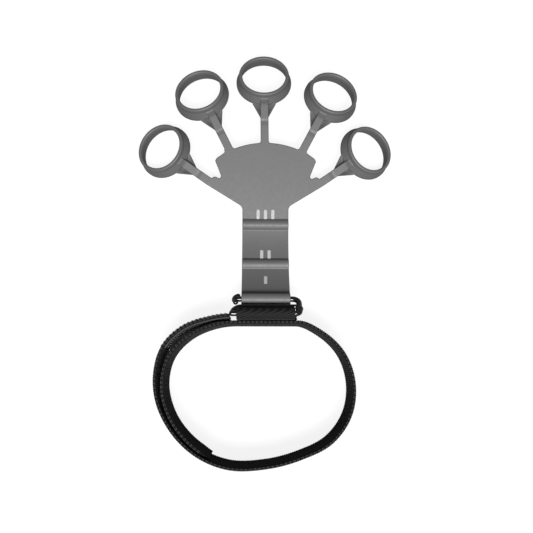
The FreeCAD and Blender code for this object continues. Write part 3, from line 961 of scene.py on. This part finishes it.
def band_mesh(first, last, round_start, round_end):
    """The ribbed band between two points of its line. The rounded start is the inner tip."""
    def fill(bm):
        loops = []
        stations = band_line(first, last, RIB_PITCH / 6)
        total = stations[-1][2]
        for place, heading, gone in stations:
            wave = math.cos(2 * math.pi * gone / RIB_PITCH)
            half = BAND_T / 2 - RIB_DEPTH
            left_over = min(gone if round_start else 1e3, total - gone if round_end else 1e3)
            if left_over < 1:
                half *= math.sqrt(max(0.02, 1 - (1 - left_over) ** 2))
            if round_start:
                half *= TIP_SHARE + (1 - TIP_SHARE) * smooth(gone / TIP_TAPER)
            ripple = RIB_DEPTH * wave
            left = Vector((-heading.y, heading.x))
            pile = 0.0
            if round_start and gone < total / 2:
                pile = PILE_RISE * smooth((place.y - PILE_FROM_Y) / PILE_SPREAD)
                pile *= smooth((PILE_TO_X - place.x) / PILE_SPREAD)
            loops.append([(*(place + left * (off + pile if off > 0 else off)), z)
                          for off, z in band_section(half, ripple)])
        bridge(bm, loops)

    return fill


def capsule(bm, middle, along, out, length, radius):
    """A stitch: a short thread whose ends dip into the cloth."""
    side = along.cross(out)
    loops = []
    for k in range(7):
        t = k / 6 * 2 - 1
        girth = radius * math.sqrt(max(0.04, 1 - t ** 4))
        centre = middle + along * (t * length / 2) + out * (radius * (0.75 - 1.3 * t ** 4))
        loops.append([centre + side * (girth * math.cos(a)) + out * (girth * math.sin(a))
                      for a in (math.radians(60 * j) for j in range(6))])
    bridge(bm, loops)


def band_stitches(bm, first, last, off, z, out_of, pitch=2.1, length=1.45, radius=0.17):
    """A row of stitches along the band, none on its thin inner tip.

    out_of gives the way out of the cloth from the direction to the band's left.
    """
    for place, heading, gone in band_line(first, last, pitch)[:-1]:
        if first == 0 and gone < TIP_TAPER:
            continue
        along = Vector((heading.x, heading.y, 0))
        left = Vector((-heading.y, heading.x, 0))
        middle = Vector((place.x, place.y, z)) + left * off
        length_here = length * RANDOM.uniform(0.9, 1.1)
        capsule(bm, middle, along, out_of(left), length_here, radius)


def selvedge(first, last):
    """Two lines of edge stitching on the band's upper edge, and two on its lower edge."""
    def fill(bm):
        up, down = Vector((0, 0, 1)), Vector((0, 0, -1))
        for off in (-EDGE_THREAD_OFF, EDGE_THREAD_OFF):
            band_stitches(bm, first, last, off, BAND_W - 0.12, lambda _: up, radius=EDGE_THREAD_R)
            band_stitches(bm, first, last, off, 0.3, lambda _: down, radius=EDGE_THREAD_R)

    return fill


def wrist_band():
    """The band from its inner tip to the line where the outer end peels off."""
    obj = piece("band_loop", band_mesh(0, TAIL_FROM, True, False), BAND_FRAME, sharp=60)
    finish_with(obj, BAND)
    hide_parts("wrist_band")
    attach(obj, "strap")
    edge = piece("band_loop_stitching", selvedge(0, TAIL_FROM), BAND_FRAME)
    finish_with(edge, THREAD)
    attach(edge, "strap")


def bend_with_tail(obj):
    """Bakes the piece's placement into its mesh."""
    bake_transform(obj)


def tape_rows(bm):
    """The rows that hold the hook tape, where they show on the band's outer face."""
    for z in (TAPE_ROW_Z, BAND_W - TAPE_ROW_Z):
        band_stitches(bm, TAPE_FROM, TAIL_END, BAND_T / 2, z, lambda left: left)


def band_tail():
    """The band's outer end, with its edge stitching and the tape's stitching."""
    tail = piece("band_tail_layer", band_mesh(TAIL_FROM, TAIL_END, False, True), BAND_FRAME, sharp=60)
    finish_with(tail, BAND)
    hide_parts("band_tail")
    bend_with_tail(tail)
    edge = piece("band_tail_stitching", selvedge(TAIL_FROM, TAIL_END), BAND_FRAME)
    finish_with(edge, THREAD)
    bend_with_tail(edge)
    rows = piece("tape_stitching", tape_rows, BAND_FRAME)
    finish_with(rows, THREAD)
    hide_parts("hook_tape_stitches")
    bend_with_tail(rows)


# ---------------------------------------------------------------- hook tape and keeper

TAPE_T, TAPE_MARGIN, HOOK_PITCH = 0.5, 1.0, 1.25
# One small hook: how far each section stands up, how far it leans over, and half its width
HOOK_SECTIONS = ((0.0, 0.0, 0.16), (0.3, 0.02, 0.12), (0.42, 0.22, 0.11), (0.3, 0.38, 0.08))
KEEPER_FROM, KEEPER_TO, KEEPER_BOTTOM = -14.4, 15.3, 1.2
FOLD_TO, CORNER_ROOM_R = 13.9, 5.2
WEBBING_T, FOLD_R = 1.3, 2.25
FOLD_END = math.radians(-35)  # the webbing leaves the bar here and comes back to the band
LOWER_BEND_BELOW, LOWER_BEND_R = 5.3, 2.5
KEEPER_STEPS = 90
SEAM_ROWS_Z = (4.0, 17.5)
SEAM_PITCH, SEAM_STITCH, SEAM_THREAD_R = 2.3, 1.6, 0.2
BAR = Vector(JOINTS["strap_swing"]["pos_m"]) / MM - SHIFT


def tape_mesh(bm):
    """The hook tape's woven ground, and its field of small moulded hooks."""
    inner = -BAND_T / 2
    loops = []
    for place, heading, _ in band_line(TAPE_FROM, TAIL_END, 0.8):
        left = Vector((-heading.y, heading.x))
        corners = ((inner - TAPE_T, TAPE_MARGIN), (inner - TAPE_T, BAND_W - TAPE_MARGIN),
                   (inner, BAND_W - TAPE_MARGIN), (inner, TAPE_MARGIN))
        loops.append([(*(place + left * off), z) for off, z in corners])
    bridge(bm, loops)
    rows = int((BAND_W - 2 * TAPE_MARGIN - 1.5) / HOOK_PITCH)
    for place, heading, _ in band_line(TAPE_FROM, TAIL_END, HOOK_PITCH)[1:-1]:
        left = Vector((-heading.y, heading.x))
        for k in range(rows):
            z = TAPE_MARGIN + 1 + k * HOOK_PITCH + RANDOM.uniform(-0.1, 0.1)
            loops = []
            for rise, bend, girth in HOOK_SECTIONS:
                middle = place + left * (inner - TAPE_T - rise) + heading * bend
                loops.append([(*(middle + heading * (girth * a)), z + girth * b)
                              for a, b in ((1, 1), (-1, 1), (-1, -1), (1, -1))])
            bridge(bm, loops)


def keeper_path():
    """(y, z) along the middle of the webbing: up the band, round the hook's bar and down."""
    back = BAR.y - FOLD_R
    over = arc_points((BAR.y, BAR.z), FOLD_R, math.pi, FOLD_END, 22)
    front = back + WEBBING_T
    return rounded([(back, KEEPER_BOTTOM, 0), *[(*p, 0) for p in over],
                    (front, BAR.z - LOWER_BEND_BELOW, LOWER_BEND_R), (front, KEEPER_BOTTOM, 0)], steps=8)


def keeper_mesh(bm):
    """The folded webbing, with thinner woven edges and a faint rib in its face."""
    path = [Vector(p) for p in keeper_path()]
    ways = []
    for i in range(len(path)):
        run = (path[min(i + 1, len(path) - 1)] - path[max(i - 1, 0)]).normalized()
        ways.append(Vector((-run.y, run.x)))
    loops = []
    for k in range(KEEPER_STEPS + 1):
        x = KEEPER_FROM + (KEEPER_TO - KEEPER_FROM) * k / KEEPER_STEPS
        end = min(x - KEEPER_FROM, KEEPER_TO - x)
        half = WEBBING_T / 2 * (0.55 + 0.45 * min(1, end / 0.7)) - 0.03 * (k % 2)
        loop = [(x, *(p + w * half)) for p, w in zip(path, ways)]
        loops.append(loop + [(x, *(p - w * half)) for p, w in reversed(list(zip(path, ways)))])
    bridge(bm, loops)


def corner_room(bm):
    """The room at the keeper's end, where the hook's corner swings."""
    ring = arc_points((BAR.y, BAR.z), CORNER_ROOM_R, 0, 2 * math.pi, 48)[:-1]
    bridge(bm, [[(x, y, z) for y, z in ring] for x in (FOLD_TO, KEEPER_TO + 3)])


def keeper_rows(bm):
    """The seams that sew the keeper to the band, on its front face."""
    face = BAR.y - FOLD_R + WEBBING_T * 1.5
    along, out = Vector((1, 0, 0)), Vector((0, 1, 0))
    for z in SEAM_ROWS_Z:
        x = KEEPER_FROM + 1.6
        while x < KEEPER_TO - 1:
            capsule(bm, Vector((x, face, z)), along, out, SEAM_STITCH, SEAM_THREAD_R)
            x += SEAM_PITCH


def hook_tape():
    """The patch of hook tape on the inner face of the band's outer end."""
    tape = piece("hook_tape_field", tape_mesh, BAND_FRAME)
    finish_with(tape, TAPE)
    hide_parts("hook_tape")
    bend_with_tail(tape)


def keeper():
    """The webbing folded round the hook's bar, cut back where the hook's corner swings."""
    fold = piece("keeper_sheet", keeper_mesh, BAND_FRAME, sharp=60)
    room = piece("keeper_room", corner_room, BAND_FRAME)
    sewn = joined("keeper_fold", [fold, room], "DIFFERENCE", sharp=60)
    finish_with(sewn, WEBBING)
    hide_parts("keeper_webbing")
    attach(sewn, "strap")
    rows = piece("keeper_thread", keeper_rows, BAND_FRAME)
    finish_with(rows, THREAD)
    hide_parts("keeper_stitches")
    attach(rows, "strap")


# ---------------------------------------------------------------- kept CAD pieces

def dress(node, material):
    """Gives a CAD piece, kept as it is, a better material."""
    obj = frame["nodes"][node]
    obj.data.materials.clear()
    obj.data.materials.append(material)


# ---------------------------------------------------------------- stage

FLOOR_REACH, FLOOR_GAP = 3.0, 0.0002        # metres
FLOOR_SEEN, FLOOR_GLOW = 0.88, 0.22         # its brightness to the camera, and on the object
WORLD_STRENGTH = 0.15
KEY_PLACE, KEY_SIZE, KEY_POWER = (0.0, -0.46, 0.88), (0.5, 0.3), 20
LENS, SENSOR = 37.15, 36.0
CAMERA_X, CAMERA_Y, CAMERA_Z = -6.35, -57.62, 290.2     # from the box's middle, above its bottom
TIP_FORWARD, TIP_RIGHT = math.radians(10.1), math.radians(1.38)


def key_light():
    """One soft light, high on the wrist's side."""
    data = bpy.data.lights.new("key", "AREA")
    data.shape = "RECTANGLE"
    data.size, data.size_y = KEY_SIZE
    data.energy = KEY_POWER
    obj = bpy.data.objects.new("key", data)
    bpy.context.scene.collection.objects.link(obj)
    obj.location = KEY_PLACE
    obj.rotation_euler = (-Vector(KEY_PLACE)).to_track_quat("-Z", "Y").to_euler()


def stage():
    """A pale floor that is bright to the camera and gives the object only a weak light."""
    mesh = bpy.data.meshes.new("floor")
    corners = ((-1, -1), (1, -1), (1, 1), (-1, 1))
    mesh.from_pydata([(x * FLOOR_REACH, y * FLOOR_REACH, 0) for x, y in corners], [], [(0, 1, 2, 3)])
    floor = bpy.data.objects.new("floor", mesh)
    bpy.context.scene.collection.objects.link(floor)
    floor.location.z = cad_box[0].z - FLOOR_GAP
    surface = Surface("floor", 0.9, Specular_IOR_Level=0.0)
    surface.shader.inputs["Base Color"].default_value = (*grey(0.1), 1)
    surface.shader.inputs["Emission Color"].default_value = (1, 1, 1, 1)
    seen = surface.node("ShaderNodeLightPath").outputs["Is Camera Ray"]
    glow = surface.ramp(seen, 0, 1, FLOOR_GLOW, FLOOR_SEEN)
    surface.links.new(glow, surface.shader.inputs["Emission Strength"])
    mesh.materials.append(surface.material)

    world = bpy.data.worlds.new("studio")
    world.use_nodes = True
    background = world.node_tree.nodes["Background"]
    background.inputs["Color"].default_value = (1, 1, 1, 1)
    background.inputs["Strength"].default_value = WORLD_STRENGTH
    bpy.context.scene.world = world
    key_light()
    bpy.context.scene.view_settings.view_transform = "Standard"


def camera():
    """Above the wrist band, tipped a little towards the fingers."""
    lo, hi = cad_box
    middle = (lo + hi) / 2
    data = bpy.data.cameras.new("camera")
    data.lens, data.sensor_width = LENS, SENSOR
    obj = bpy.data.objects.new("camera", data)
    bpy.context.scene.collection.objects.link(obj)
    obj.location = (middle.x + CAMERA_X * MM, middle.y + CAMERA_Y * MM, lo.z + CAMERA_Z * MM)
    back = -Vector((math.sin(TIP_RIGHT), math.sin(TIP_FORWARD) * math.cos(TIP_RIGHT),
                    -math.cos(TIP_FORWARD) * math.cos(TIP_RIGHT)))
    side = Vector((0, 1, 0)).cross(back).normalized()
    obj.rotation_euler = Matrix((side, back.cross(side), back)).transposed().to_euler()
    bpy.context.scene.camera = obj


silicone_hand()
for finger_number in FINGERS:
    finger(finger_number)
for level in MARK_AT:
    level_mark(level)
wrist_band()
band_tail()
dress("g_hook", PLASTIC)
hook_tape()
keeper()
stage()
camera()
